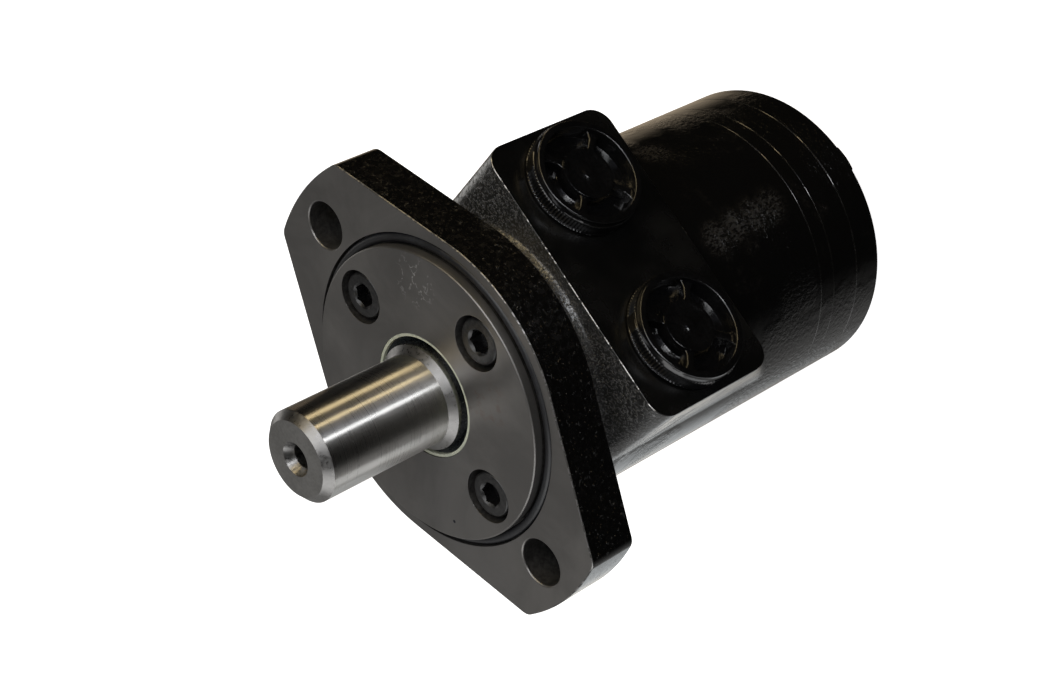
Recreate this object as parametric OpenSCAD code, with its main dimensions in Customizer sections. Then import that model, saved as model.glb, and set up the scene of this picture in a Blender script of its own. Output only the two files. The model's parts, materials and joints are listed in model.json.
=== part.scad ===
// Low-speed, high-torque hydraulic motor: a roller gerotor set behind a spool valve, with a
// two-bolt pilot flange, a straight keyed shaft and two side ports.
// Origin: centre of the flange's mounting face. +Z runs along the shaft towards its end,
// the two flange bolt holes lie along X, and the port pad faces -Y.

/* [Mounting flange] */
// Diameter of the centring pilot
pilot_d = 82.55; // [82.3:0.01:82.6]
// Height of the pilot above the mounting face
pilot_h = 2.8; // [2.4:0.1:3.2]
// Distance between the two mounting bolt holes
bolt_spacing = 106.38; // [105:0.01:108]
// Diameter of a mounting bolt hole
bolt_hole_d = 13.5; // [12:0.1:14]
// Thickness of the flange plate
flange_t = 15; // [14:0.5:15]
// Radius of the flange's round waist
waist_r = 47; // [46.5:0.5:48]
// Radius to the flange's ends
flange_end_r = 64.7; // [64:0.1:66]
// Radius of the flange's four corners
corner_r = 4; // [3:0.5:6]

/* [Output shaft] */
// Diameter of the straight shaft
shaft_d = 25.4; // [25:0.1:25.4]
// Height of the shaft's end above the mounting face
shaft_tip_z = 45.95; // [40:0.05:50]
// Diameter of the collar that runs in the seals
collar_d = 29.6; // [29:0.1:29.6]
// Diameter of the spool inside the housing
spool_d = 36; // [35.8:0.1:36]
// Width of the keyway
key_w = 6.35; // [6:0.05:6.35]
// Length of the keyway, over its round ends
key_l = 31.75; // [25:0.25:32]

/* [Housing] */
// Diameter of the housing, spacer plate, roller ring and end cover
body_d = 86.2; // [86:0.1:88]
// Distance from the mounting face to the housing's rear face
housing_end = 109.5; // [109:0.5:112]
// Distance from the shaft's axis to the port pad
pad_y = 44.2; // [44:0.1:46]
// Length of the port pad across the shaft
pad_l = 83; // [80:0.5:83]
// Width of the port pad along the shaft
pad_w = 43.7; // [42:0.1:44]
// Distance from the mounting face to the centre of both ports
port_z = 44.6; // [44.4:0.1:45]
// Distance between the two ports
port_spacing = 47.6; // [47:0.1:48]

/* [Roller set] */
// Thickness of the spacer plate
spacer_t = 5.5; // [5:0.1:6]
// Width of the roller ring
ring_t = 10.6; // [10.4:0.1:12]
// Thickness of the end cover
cover_t = 10.4; // [9:0.1:11]
// Radius of the circle that the rollers' centres lie on
roller_circle_r = 27; // [27:0.1:27.2]
// Radius of a roller
roller_r = 5.6; // [5.5:0.1:5.6]
// Distance between the ring's centre and the rotor's centre
eccentricity = 2.8; // [2.7:0.05:2.8]

/* [Screws] */
// Radius of the circle of the flange's cap screws
cap_screw_circle_r = 31.35; // [31.2:0.05:31.4]
// Radius of the circle of the end cover's bolts
cover_bolt_circle_r = 33; // [33:0.1:33.2]

/* [Hidden] */

$fn = 96;
eps = 0.01;          // overlap that keeps cuts clean
roller_count = 7;
lobe_count = roller_count - 1;
step_angle = 360 / roller_count;
first_bolt_angle = -90;                       // one end cover bolt lies on the pad's side
first_roller_angle = first_bolt_angle + step_angle / 2;
rotor_angle = 90;                             // direction of the rotor's offset at rest

// Heights of the faces along the shaft
spacer_z = -housing_end;
ring_z = spacer_z - spacer_t;
cover_z = ring_z - ring_t;
rear_z = cover_z - cover_t;

// Mounting flange
pilot_r = pilot_d / 2;
pilot_chamfer = 0.3;
hole_chamfer = 0.35;
tangent_angle = 60;                           // where the straight sides leave the waist
groove_r_out = 44.3;
groove_r_in = 40.8;                           // undercuts the pilot's foot
groove_depth = 2.75;
o_ring_circle_r = 42.65;
o_ring_section_r = 1.35;
seal_bore_r = 17.5;
seal_bore_depth = 4;
web_bore_r = 15.3;
seal_pocket_r = 20.5;
seal_pocket_top = -3.8;
dust_seal_t = 0.9;
dust_seal_drop = 0.2;                         // how far the dust seal lies below the pilot
lip_gap = 0.05;
wiper_drop = 1.2;
wiper_bevel_h = 1.4;
wiper_bevel_r = 16.4;
shaft_seal_end = -9.5;
shaft_seal_web_z = -6;
shaft_seal_wall = 1.5;
backup_z = [-11.2, -9.6];
backup_gap = [0.3, 0.1];
cap_head_r = 6.5;
cap_head_h = 8;
cap_head_top = 1.9;
cap_pocket_r = 7.6;
cap_screw_r = 4;
cap_screw_end = -28;
cap_socket_af = 6;
cap_socket_depth = 4;
screw_clearance = 0.25;

// Output shaft and spool
shaft_r = shaft_d / 2;
collar_r = collar_d / 2;
spool_r = spool_d / 2;
spool_clearance = 0.03;
shaft_chamfer = 2.1;
step_z = 5.6;                                 // where the shaft meets the collar's bevel
collar_z = 4;
shoulder_z = -20.6;
end_thread_r = 3.4;
end_thread_mouth_r = 4.8;
end_thread_mouth_h = 2.4;
shaft_rear_gap = 0.3;
end_thread_depth = 22;
key_depth = 3.6;
key_top_z = shaft_tip_z - 4;
valve_groove_w = 4.5;
valve_groove_depth = 2;
valve_groove_z = [-37, -53.5];
valve_slot_count = 6;
valve_slot_w = 3;
valve_slot_depth = 1.8;
valve_slot_reach = 10.5;
window_z = -45.25;
window_r = 1.9;
passage_r = 2.2;
passage_circle_r = 25.2;
link_bore_r = 11.9;
link_bore_top = -78;
shaft_spline_top = -66;
relief_top = -60;
relief_r = 10.5;

// Splines of the drive link
spline_teeth = 12;
hub_r = 10.2;
hub_root_r = 11.7;
hub_slot_w = 2.9;
link_root_r = 9.7;
link_tip_r = 11.2;
link_tooth_w = 2.2;
link_neck_r = 8;
link_front_z = -72;                           // middle of the front spline
link_rear_z = -119.4;                         // middle of the rear spline
link_front_l = 9;
link_rear_l = 7.2;
link_tilt = atan2(eccentricity, link_front_z - link_rear_z);
link_l = sqrt(pow(eccentricity, 2) + pow(link_front_z - link_rear_z, 2));
link_bevel = 0.8;

// Housing
body_r = body_d / 2;
neck_r = 40.6;
neck_fillet_r = 5.8;
neck_end_z = -22.5;
neck_blend_z = -28;
pad_corner_r = 6;
pad_plate_t = 2;
pad_front_z = -(port_z - pad_w / 2);
pad_rear_z = pad_front_z - pad_w;
block_drop = 0.8;                             // how far the block lies below the pad
block_taper = 0.7;                            // how much narrower the block is at its root
block_root_y = 10;
ramp_end_z = -95;
ramp_end_y = 12;
thrust_pocket_r = 23.7;
face_groove_r = 25.6;
face_section_r = 0.9;
face_groove_depth = 1.9;
face_groove_side = 0.1;                       // room beside a seal in its groove
port_thread_r = 9.6;
port_bottom_y = 30;
port_recess_r = 13.2;
port_recess_depth = 2.3;
port_x = port_spacing / 2;
feed_r = 2.4;
feed_x = [19, -13];
feed_z = [-38.5, -52];
feed_end_y = 8;
gallery_r = 21.5;
drain_z = -62;
drain_thread_r = 6.6;
drain_face_y = 41.6;
drain_face_r = 10;
drain_depth = 13;
drain_feed_r = 2.5;
drain_head_r = 9;
drain_head_h = 3.4;
drain_socket_af = 6;
drain_socket_depth = 6;
washer_t = 1.6;
thread_fit = 0.05;                            // room round a screw in its threaded hole

// Rear stack
cover_bolt_r = 4;
cover_bolt_end = rear_z + 40;
cover_head_af = 13;
cover_head_h = 4.2;
cover_head_cut = 0.6;
rim_groove_r = 39.8;
spacer_bore_r = 14;
chamber_r = roller_circle_r + 0.3;
pocket_clearance = 0.05;
rotor_side_gap = 0.05;
rotor_mesh_gap = 0.04;
lobe_points = 40;
lobe_warp = 6.7;                              // degrees by which points gather in the valleys
rear_edge = 0.6;
drive_spacer_gap = 0.2;
drive_spacer_t = 1.5;

// Thrust bearing
race_r_in = 15.2;
race_r_out = 23.4;
race_front_z = [-16.55, -15];
race_rear_z = [-20.55, -19.15];
race_rear_gap = [0.1, 0.3];
cage_z = [-18.65, -17.05];
cage_r = [16, 23];
needle_count = 20;
needle_r = 1.2;
needle_span = [17, 22];
needle_clearance = 0.04;

// Port plugs
plug_knurl_r = 16;
plug_knurl_h = 4.2;
plug_rim_r = 15.3;
plug_rim_in_r = 13.4;
plug_h = 6.1;
plug_floor = 1.4;
plug_disc_r = 7.6;
plug_disc_h = 5.2;
plug_rib_w = 2.2;
plug_rib_top = 4.6;
plug_rib_count = 4;
plug_shank_l = 10;
plug_shank_r = 9.5;
plug_ring_r = 11.4;
plug_ring_section_r = 1.1;
plug_gap = 0.1;

// A ring with a rectangular section between two heights
module ring(r_in, r_out, z_low, z_high) {
    translate([0, 0, z_low]) difference() {
        cylinder(r = r_out, h = z_high - z_low);
        translate([0, 0, -eps]) cylinder(r = r_in, h = z_high - z_low + 2 * eps);
    }
}

// A round-section ring about the shaft's axis
module o_ring(r, section_r, z) {
    translate([0, 0, z]) rotate_extrude() translate([r, 0]) circle(r = section_r, $fn = 32);
}

// The groove that holds a face seal, between two heights
module seal_groove(r, z_low, z_high) {
    reach = face_section_r + face_groove_side;
    ring(r - reach, r + reach, z_low, z_high);
}

// Copies of the children round the axis
module around(count, first = 0) {
    for (i = [0:count - 1]) rotate([0, 0, first + i * 360 / count]) children();
}

// Places the children on one port's axis, with +Z pointing out of the pad
module at_port(x) {
    translate([x, -pad_y, -port_z]) rotate([90, 0, 0]) children();
}

// A hexagonal prism, given its width across the flats
module hex_prism(af, h) {
    cylinder(r = af / 2 / cos(30), h = h, $fn = 6);
}

// The seven bolt holes of the rear stack
module cover_bolt_holes(z_low, z_high) {
    around(roller_count, first_bolt_angle) translate([cover_bolt_circle_r, 0, z_low - eps])
        cylinder(r = cover_bolt_r + screw_clearance, h = z_high - z_low + 2 * eps, $fn = 48);
}

// The seven oil passages to the roller set's chambers
module passages(z_low, z_high) {
    around(roller_count, first_bolt_angle) translate([passage_circle_r, 0, z_low - eps])
        cylinder(r = passage_r, h = z_high - z_low + 2 * eps, $fn = 32);
}

// Points along an arc from angle a to angle b, leaving out some at each end
function arc(centre, r, a, b, count, skip = 0) =
    [for (i = [skip:count - skip])
        centre + r * [cos(a + (b - a) * i / count), sin(a + (b - a) * i / count)]];

// Outline of the flange: a round waist with straight sides to two round ends
module flange_outline() {
    corner_d = flange_end_r - corner_r;
    corner_a = tangent_angle - acos((waist_r - corner_r) / corner_d);
    centre = corner_d * [cos(corner_a), sin(corner_a)];
    half = concat(
        arc([0, 0], flange_end_r, -corner_a, corner_a, 14, 1),
        arc(centre, corner_r, corner_a, tangent_angle, 7),
        arc([0, 0], waist_r, tangent_angle, 180 - tangent_angle, 24),
        arc([-centre[0], centre[1]], corner_r, 180 - tangent_angle, 180 - corner_a, 7));
    polygon(concat(half, -half));
}

module mounting_flange() {
    color("dimgray") difference() {
        union() {
            translate([0, 0, -flange_t]) linear_extrude(flange_t) flange_outline();
            translate([0, 0, -1]) cylinder(r = pilot_r, h = pilot_h + 1 - pilot_chamfer);
            translate([0, 0, pilot_h - pilot_chamfer - eps])
                cylinder(r1 = pilot_r, r2 = pilot_r - pilot_chamfer, h = pilot_chamfer + eps);
        }
        ring(groove_r_in, groove_r_out, -groove_depth, 0);
        translate([0, 0, pilot_h - seal_bore_depth])
            cylinder(r = seal_bore_r, h = seal_bore_depth + eps);
        translate([0, 0, seal_pocket_top - eps]) cylinder(r = web_bore_r, h = flange_t);
        translate([0, 0, -flange_t - eps])
            cylinder(r = seal_pocket_r, h = flange_t + seal_pocket_top + eps);
        for (sx = [-1, 1]) translate([sx * bolt_spacing / 2, 0, 0]) {
            translate([0, 0, -flange_t - eps])
                cylinder(d = bolt_hole_d, h = flange_t + 2 * eps);
            translate([0, 0, -hole_chamfer])
                cylinder(d1 = bolt_hole_d, d2 = bolt_hole_d + 2 * hole_chamfer + 2 * eps,
                    h = hole_chamfer + eps);
        }
        around(4) translate([cap_screw_circle_r, 0, 0]) {
            translate([0, 0, cap_head_top - cap_head_h])
                cylinder(r = cap_pocket_r, h = cap_head_h + pilot_h);
            translate([0, 0, -flange_t - eps])
                cylinder(r = cap_screw_r + screw_clearance, h = flange_t);
        }
    }
}

module flange_cap_screws() {
    color("black") around(4) translate([cap_screw_circle_r, 0, 0]) difference() {
        union() {
            translate([0, 0, cap_head_top - cap_head_h]) cylinder(r = cap_head_r, h = cap_head_h);
            translate([0, 0, cap_screw_end])
                cylinder(r = cap_screw_r, h = cap_head_top - cap_head_h - cap_screw_end + eps);
        }
        translate([0, 0, cap_head_top - cap_socket_depth])
            hex_prism(cap_socket_af, cap_socket_depth + eps);
    }
}

module pilot_o_ring() {
    color("black") o_ring(o_ring_circle_r, o_ring_section_r,
        -groove_depth + o_ring_section_r);
}

module dust_seal() {
    color("ivory") ring(seal_bore_r - dust_seal_t, seal_bore_r, pilot_h - seal_bore_depth,
        pilot_h - dust_seal_drop);
}

module wiper_lip() {
    color("black") difference() {
        ring(collar_r + lip_gap, seal_bore_r - dust_seal_t - lip_gap, pilot_h - seal_bore_depth,
            pilot_h - wiper_drop);
        translate([0, 0, pilot_h - wiper_drop - wiper_bevel_h])
            cylinder(r1 = collar_r, r2 = wiper_bevel_r, h = wiper_bevel_h + eps);
    }
}

module shaft_seal() {
    color("black") difference() {
        ring(collar_r + lip_gap, seal_pocket_r - lip_gap, shaft_seal_end, seal_pocket_top);
        ring(collar_r + shaft_seal_wall, seal_pocket_r - shaft_seal_wall, shaft_seal_end - eps,
            shaft_seal_web_z);
    }
}

module seal_backup_ring() {
    color("silver") ring(collar_r + backup_gap[0], seal_pocket_r - backup_gap[1], backup_z[0],
        backup_z[1]);
}

module flange_seal_ring() {
    color("black") o_ring(face_groove_r, face_section_r, -flange_t - face_groove_depth / 2);
}

module thrust_race_front() {
    color("silver") ring(race_r_in, race_r_out, race_front_z[0], race_front_z[1]);
}

// Needles of the thrust bearing, as cylinders that point outwards
module needles(r, span) {
    mid_z = (cage_z[0] + cage_z[1]) / 2;
    around(needle_count) translate([span[0], 0, mid_z]) rotate([0, 90, 0])
        cylinder(r = r, h = span[1] - span[0], $fn = 32);
}

module thrust_bearing_cage() {
    color("goldenrod") difference() {
        ring(cage_r[0], cage_r[1], cage_z[0], cage_z[1]);
        needles(needle_r + needle_clearance,
            [needle_span[0] - needle_clearance, needle_span[1] + needle_clearance]);
    }
}

module thrust_bearing_needles() {
    color("silver") needles(needle_r, needle_span);
}

module thrust_race_rear() {
    color("silver") ring(collar_r + race_rear_gap[0], race_r_out - race_rear_gap[1], race_rear_z[0],
        race_rear_z[1]);
}

// The casting's outside: a round body with a filleted neck behind the flange
module housing_round() {
    fillet_top = neck_r + neck_fillet_r;
    rotate_extrude() difference() {
        polygon([[0, -flange_t], [fillet_top, -flange_t],
            [fillet_top, -flange_t - eps], [neck_r, -flange_t - neck_fillet_r],
            [neck_r, neck_end_z], [body_r, neck_blend_z], [body_r, spacer_z], [0, spacer_z]]);
        translate([fillet_top, -flange_t - neck_fillet_r]) circle(r = neck_fillet_r);
    }
}

// The block that carries the ports, with a ramp behind it and a flat pad on top
module port_block() {
    block_y = pad_y - block_drop;
    half = pad_l / 2;
    intersection() {
        translate([0, 0, ramp_end_z]) linear_extrude(pad_front_z - ramp_end_z)
            polygon([[-half + block_taper, -block_root_y], [-half, -block_y],
                [half, -block_y], [half - block_taper, -block_root_y]]);
        rotate([90, 0, 90]) translate([0, 0, -pad_l]) linear_extrude(2 * pad_l)
            polygon([[0, pad_front_z], [-block_y, pad_front_z], [-block_y, pad_rear_z],
                [-ramp_end_y, ramp_end_z], [0, ramp_end_z]]);
        translate([0, 0, pad_front_z - pad_corner_r]) union() {
            translate([-pad_l, -pad_l, -pad_l]) cube([2 * pad_l, pad_l, pad_l]);
            translate([-half + pad_corner_r, -pad_l, -eps])
                cube([pad_l - 2 * pad_corner_r, pad_l, pad_corner_r + 1]);
            for (sx = [-1, 1]) translate([sx * (half - pad_corner_r), 0, 0])
                rotate([90, 0, 0]) cylinder(r = pad_corner_r, h = pad_l);
        }
    }
    translate([0, -pad_y + pad_plate_t, 0]) rotate([90, 0, 0]) linear_extrude(pad_plate_t) {
        for (sx = [-1, 1]) for (z = [pad_front_z - pad_corner_r, pad_rear_z + pad_corner_r])
            translate([sx * (half - pad_corner_r), z]) circle(r = pad_corner_r);
        translate([-half, pad_rear_z + pad_corner_r]) square([pad_l, pad_w - 2 * pad_corner_r]);
        translate([-half + pad_corner_r, pad_rear_z]) square([pad_l - 2 * pad_corner_r, pad_w]);
    }
}

module housing() {
    color("#1c1c1c") difference() {
        union() {
            housing_round();
            port_block();
        }
        translate([0, 0, spacer_z - eps])
            cylinder(r = spool_r + spool_clearance, h = housing_end);
        translate([0, 0, shoulder_z]) cylinder(r = thrust_pocket_r, h = -shoulder_z);
        seal_groove(face_groove_r, -flange_t - face_groove_depth, -flange_t + 1);
        seal_groove(rim_groove_r, spacer_z - 1, spacer_z + face_groove_depth);
        around(4) translate([cap_screw_circle_r, 0, cap_screw_end - 1])
            cylinder(r = cap_screw_r + thread_fit, h = -cap_screw_end);
        around(roller_count, first_bolt_angle)
            translate([cover_bolt_circle_r, 0, spacer_z - eps])
                cylinder(r = cover_bolt_r + thread_fit, h = cover_bolt_end - spacer_z + 1, $fn = 48);
        passages(spacer_z, window_z + window_r);
        around(roller_count, first_bolt_angle) translate([spool_r - 1, 0, window_z])
            rotate([0, 90, 0]) cylinder(r = window_r, h = passage_circle_r - spool_r + 1);
        for (z = concat(valve_groove_z, [drain_z]))
            ring(spool_r - 1, gallery_r, z - valve_groove_w / 2, z + valve_groove_w / 2);
        for (sx = [-1, 1]) at_port(sx * port_x) {
            translate([0, 0, -(pad_y - port_bottom_y)])
                cylinder(r = port_thread_r, h = pad_y - port_bottom_y + 1);
            translate([0, 0, -port_recess_depth])
                cylinder(r = port_recess_r, h = port_recess_depth + 1);
        }
        for (i = [0, 1]) translate([feed_x[i], -feed_end_y, feed_z[i]]) rotate([90, 0, 0])
            cylinder(r = feed_r, h = port_bottom_y + 1 - feed_end_y, $fn = 48);
        translate([0, drain_face_y, drain_z]) rotate([-90, 0, 0]) {
            cylinder(r = drain_face_r, h = body_r);
            translate([0, 0, -drain_depth]) cylinder(r = drain_thread_r + thread_fit, h = body_r);
            translate([0, 0, -drain_face_y + spool_r]) cylinder(r = drain_feed_r, h = body_r);
        }
    }
}

// Slots of an internal spline, to be cut out of a hub
module spline_slots(z_low, z_high) {
    around(spline_teeth) translate([hub_r - 1, -hub_slot_w / 2, z_low])
        cube([hub_root_r - hub_r + 1, hub_slot_w, z_high - z_low]);
}

// The six slots that run from one valve groove towards the other
module valve_slots(z_start, reach, first) {
    around(valve_slot_count, first)
        translate([spool_r - valve_slot_depth, -valve_slot_w / 2, min(z_start, z_start + reach)])
            cube([2 * valve_slot_depth, valve_slot_w, abs(reach)]);
}

module output_shaft() {
    chamfer_z = shaft_tip_z - shaft_chamfer;
    color("silver") difference() {
        rotate_extrude() polygon([[0, shaft_tip_z], [shaft_r - shaft_chamfer, shaft_tip_z],
            [shaft_r, chamfer_z], [shaft_r, step_z], [collar_r, collar_z],
            [collar_r, shoulder_z], [spool_r, shoulder_z],
            [spool_r, spacer_z + shaft_rear_gap], [0, spacer_z + shaft_rear_gap]]);
        translate([0, 0, shaft_tip_z - end_thread_depth])
            cylinder(r = end_thread_r, h = end_thread_depth + eps);
        translate([0, 0, shaft_tip_z - end_thread_mouth_h])
            cylinder(r1 = end_thread_r, r2 = end_thread_mouth_r, h = end_thread_mouth_h + eps);
        for (z = [key_top_z - key_w / 2, key_top_z - key_l + key_w / 2])
            translate([0, shaft_r - key_depth, z]) rotate([-90, 0, 0])
                cylinder(r = key_w / 2, h = key_depth + 1);
        translate([-key_w / 2, shaft_r - key_depth, key_top_z - key_l + key_w / 2])
            cube([key_w, key_depth + 1, key_l - key_w]);
        for (z = concat(valve_groove_z, [drain_z]))
            ring(spool_r - valve_groove_depth, spool_r + 1, z - valve_groove_w / 2,
                z + valve_groove_w / 2);
        valve_slots(valve_groove_z[0], -valve_slot_reach, 0);
        valve_slots(valve_groove_z[1], valve_slot_reach, 180 / valve_slot_count);
        translate([0, 0, spacer_z]) cylinder(r = link_bore_r, h = link_bore_top - spacer_z);
        translate([0, 0, link_bore_top - eps])
            cylinder(r = hub_r, h = shaft_spline_top - link_bore_top + 2 * eps);
        spline_slots(link_bore_top - eps, shaft_spline_top);
        translate([0, 0, shaft_spline_top])
            cylinder(r = relief_r, h = relief_top - shaft_spline_top);
        translate([0, 0, drain_z]) rotate([90, 0, 0]) cylinder(r = window_r, h = spool_r + 1);
    }
}

// One splined head of the drive link, centred on its own origin
module link_head(length) {
    difference() {
        union() {
            cylinder(r = link_root_r, h = length, center = true);
            around(spline_teeth) translate([link_root_r - 1, -link_tooth_w / 2, -length / 2])
                cube([link_tip_r - link_root_r + 1, link_tooth_w, length]);
        }
        for (side = [0, 1]) mirror([0, 0, side]) translate([0, 0, length / 2 - link_bevel])
            difference() {
                cylinder(r = link_tip_r + 1, h = 2 * link_bevel);
                translate([0, 0, -eps]) cylinder(r1 = link_tip_r, r2 = link_tip_r - 2 * link_bevel,
                    h = 2 * link_bevel + 2 * eps);
            }
    }
}

module drive_link() {
    color("gray") translate([0, 0, link_front_z]) rotate([link_tilt, 0, 0]) {
        link_head(link_front_l);
        translate([0, 0, -link_l]) link_head(link_rear_l);
        translate([0, 0, -link_l]) cylinder(r = link_neck_r, h = link_l);
    }
}

module drive_spacer() {
    color("gray") translate([0, eccentricity, cover_z + drive_spacer_gap])
        cylinder(r = hub_r - screw_clearance, h = drive_spacer_t);
}

module spacer_plate() {
    color("#1c1c1c") difference() {
        translate([0, 0, ring_z]) cylinder(r = body_r, h = spacer_t);
        translate([0, 0, ring_z - eps]) cylinder(r = spacer_bore_r, h = spacer_t + 2 * eps);
        cover_bolt_holes(ring_z, spacer_z);
        passages(ring_z, spacer_z);
        seal_groove(rim_groove_r, ring_z - 1, ring_z + face_groove_depth);
    }
}

module roller_ring() {
    color("#1c1c1c") difference() {
        translate([0, 0, cover_z]) cylinder(r = body_r, h = ring_t);
        translate([0, 0, cover_z - eps]) cylinder(r = chamber_r, h = ring_t + 2 * eps);
        around(roller_count, first_roller_angle) translate([roller_circle_r, 0, cover_z - eps])
            cylinder(r = roller_r + pocket_clearance, h = ring_t + 2 * eps);
        cover_bolt_holes(cover_z, ring_z);
    }
}

// One point of the rotor's profile: the envelope of a roller that rolls round the rotor
function rotor_point(t) =
    let (k = roller_circle_r / (eccentricity * roller_count),
        r = roller_r + rotor_mesh_gap,
        a = atan2(sin((1 - roller_count) * t), k - cos((1 - roller_count) * t)))
    [roller_circle_r * cos(t) - r * cos(t + a) - eccentricity * cos(roller_count * t),
     -roller_circle_r * sin(t) + r * sin(t + a) + eccentricity * sin(roller_count * t)];

module rotor() {
    point_count = lobe_count * lobe_points;
    hub_h = ring_t - 2 * rotor_side_gap;
    color("gray") rotate([0, 0, rotor_angle]) translate([eccentricity, 0, cover_z + rotor_side_gap])
        difference() {
            linear_extrude(hub_h)
                polygon([for (i = [0:point_count - 1]) rotor_point(i * 360 / point_count
                    - lobe_warp * sin(lobe_count * i * 360 / point_count))]);
            translate([0, 0, -eps]) cylinder(r = hub_r, h = hub_h + 2 * eps);
            spline_slots(-eps, hub_h + eps);
        }
}

// One roller of the ring, numbered from 1
module roller(number) {
    color("silver") rotate([0, 0, first_roller_angle + (number - 1) * step_angle])
        translate([roller_circle_r, 0, cover_z + rotor_side_gap])
            cylinder(r = roller_r, h = ring_t - 2 * rotor_side_gap);
}

module end_cover() {
    color("#1c1c1c") difference() {
        rotate_extrude() polygon([[0, cover_z], [body_r, cover_z], [body_r, rear_z + rear_edge],
            [body_r - rear_edge, rear_z], [0, rear_z]]);
        cover_bolt_holes(rear_z, cover_z);
        seal_groove(rim_groove_r, cover_z - face_groove_depth, cover_z + 1);
    }
}

module end_cover_bolts() {
    corner = cover_head_af / 2 / cos(30);
    color("#1c1c1c") around(roller_count, first_bolt_angle) translate([cover_bolt_circle_r, 0, 0]) {
        translate([0, 0, rear_z - cover_head_h]) intersection() {
            rotate([0, 0, 30]) hex_prism(cover_head_af, cover_head_h);
            cylinder(r1 = corner - 2 * cover_head_cut, r2 = corner + 2 * cover_head_h,
                h = cover_head_h);
        }
        translate([0, 0, rear_z - eps])
            cylinder(r = cover_bolt_r, h = cover_bolt_end - rear_z, $fn = 48);
    }
}

module body_seal_front() {
    color("black") o_ring(rim_groove_r, face_section_r, spacer_z + face_groove_depth / 2);
}

module body_seal_middle() {
    color("black") o_ring(rim_groove_r, face_section_r, ring_z + face_groove_depth / 2);
}

module body_seal_rear() {
    color("black") o_ring(rim_groove_r, face_section_r, cover_z - face_groove_depth / 2);
}

// A moulded plug with a hollow head: a rim, a middle disc and ribs that join them
module port_plug(x) {
    color("#101010") at_port(x) {
        translate([0, 0, -plug_shank_l]) cylinder(r = plug_shank_r, h = plug_shank_l + 1);
        difference() {
            union() {
                translate([0, 0, plug_gap]) cylinder(r = plug_knurl_r, h = plug_knurl_h);
                cylinder(r = plug_rim_r, h = plug_h);
            }
            translate([0, 0, plug_floor]) cylinder(r = plug_rim_in_r, h = plug_h);
        }
        cylinder(r = plug_disc_r, h = plug_disc_h);
        around(plug_rib_count, 45) translate([plug_disc_r - 1, -plug_rib_w / 2, plug_floor - 1])
            cube([plug_rim_in_r - plug_disc_r + 1.5, plug_rib_w, plug_rib_top - plug_floor + 1]);
    }
}

module plug_o_ring(x) {
    color("black") at_port(x) translate([0, 0, -plug_ring_section_r - plug_gap / 2]) rotate_extrude()
        translate([plug_ring_r, 0]) circle(r = plug_ring_section_r, $fn = 32);
}

module drain_plug() {
    color("silver") translate([0, drain_face_y, drain_z]) rotate([-90, 0, 0]) difference() {
        union() {
            translate([0, 0, washer_t]) cylinder(r = drain_head_r, h = drain_head_h);
            translate([0, 0, 1 - drain_depth]) cylinder(r = drain_thread_r, h = drain_depth + 1);
        }
        translate([0, 0, washer_t + drain_head_h - drain_socket_depth])
            hex_prism(drain_socket_af, drain_socket_depth + eps);
    }
}

module drain_plug_washer() {
    color("peru") translate([0, drain_face_y, drain_z]) rotate([-90, 0, 0])
        ring(drain_thread_r + screw_clearance, drain_head_r, 0, washer_t);
}

mounting_flange();
flange_cap_screws();
pilot_o_ring();
dust_seal();
wiper_lip();
shaft_seal();
seal_backup_ring();
flange_seal_ring();
thrust_race_front();
thrust_bearing_cage();
thrust_bearing_needles();
thrust_race_rear();
housing();
output_shaft();
drive_link();
drive_spacer();
spacer_plate();
roller_ring();
rotor();
roller(1);  // roller_1
roller(2);  // roller_2
roller(3);  // roller_3
roller(4);  // roller_4
roller(5);  // roller_5
roller(6);  // roller_6
roller(7);  // roller_7
end_cover();
end_cover_bolts();
body_seal_front();
body_seal_middle();
body_seal_rear();
port_plug(port_x);  // port_plug_a
port_plug(-port_x);  // port_plug_b
plug_o_ring(port_x);  // plug_o_ring_a
plug_o_ring(-port_x);  // plug_o_ring_b
drain_plug();
drain_plug_washer();
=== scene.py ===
"""Looks of a hydraulic motor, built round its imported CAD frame. All lengths are in metres."""

import json
from math import atan2, cos, degrees, hypot, pi, radians, sin, sqrt

import bmesh
import bpy
from mathutils import Matrix, Vector


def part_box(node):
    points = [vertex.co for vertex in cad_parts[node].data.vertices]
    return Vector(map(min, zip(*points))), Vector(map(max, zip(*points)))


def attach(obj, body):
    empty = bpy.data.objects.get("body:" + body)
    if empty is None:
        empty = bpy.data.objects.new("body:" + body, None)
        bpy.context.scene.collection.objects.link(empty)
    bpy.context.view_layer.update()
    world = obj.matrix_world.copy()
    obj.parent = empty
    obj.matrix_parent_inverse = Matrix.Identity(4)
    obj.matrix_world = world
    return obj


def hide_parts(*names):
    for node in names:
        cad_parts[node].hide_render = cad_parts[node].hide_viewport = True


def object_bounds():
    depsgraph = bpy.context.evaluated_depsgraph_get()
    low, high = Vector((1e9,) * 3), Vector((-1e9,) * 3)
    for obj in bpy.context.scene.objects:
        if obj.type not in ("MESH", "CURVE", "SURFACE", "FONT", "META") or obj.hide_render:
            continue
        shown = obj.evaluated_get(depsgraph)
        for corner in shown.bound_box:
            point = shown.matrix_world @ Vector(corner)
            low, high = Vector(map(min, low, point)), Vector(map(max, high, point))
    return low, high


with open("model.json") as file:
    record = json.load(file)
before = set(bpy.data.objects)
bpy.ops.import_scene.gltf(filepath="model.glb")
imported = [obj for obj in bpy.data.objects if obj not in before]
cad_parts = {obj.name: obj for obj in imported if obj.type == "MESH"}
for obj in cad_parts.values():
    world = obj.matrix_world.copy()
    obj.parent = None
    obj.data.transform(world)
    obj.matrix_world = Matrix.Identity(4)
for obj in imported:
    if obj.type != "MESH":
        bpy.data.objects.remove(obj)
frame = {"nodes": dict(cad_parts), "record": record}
cad_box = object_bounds()
nodes = frame["nodes"]
MM = 0.001

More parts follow.
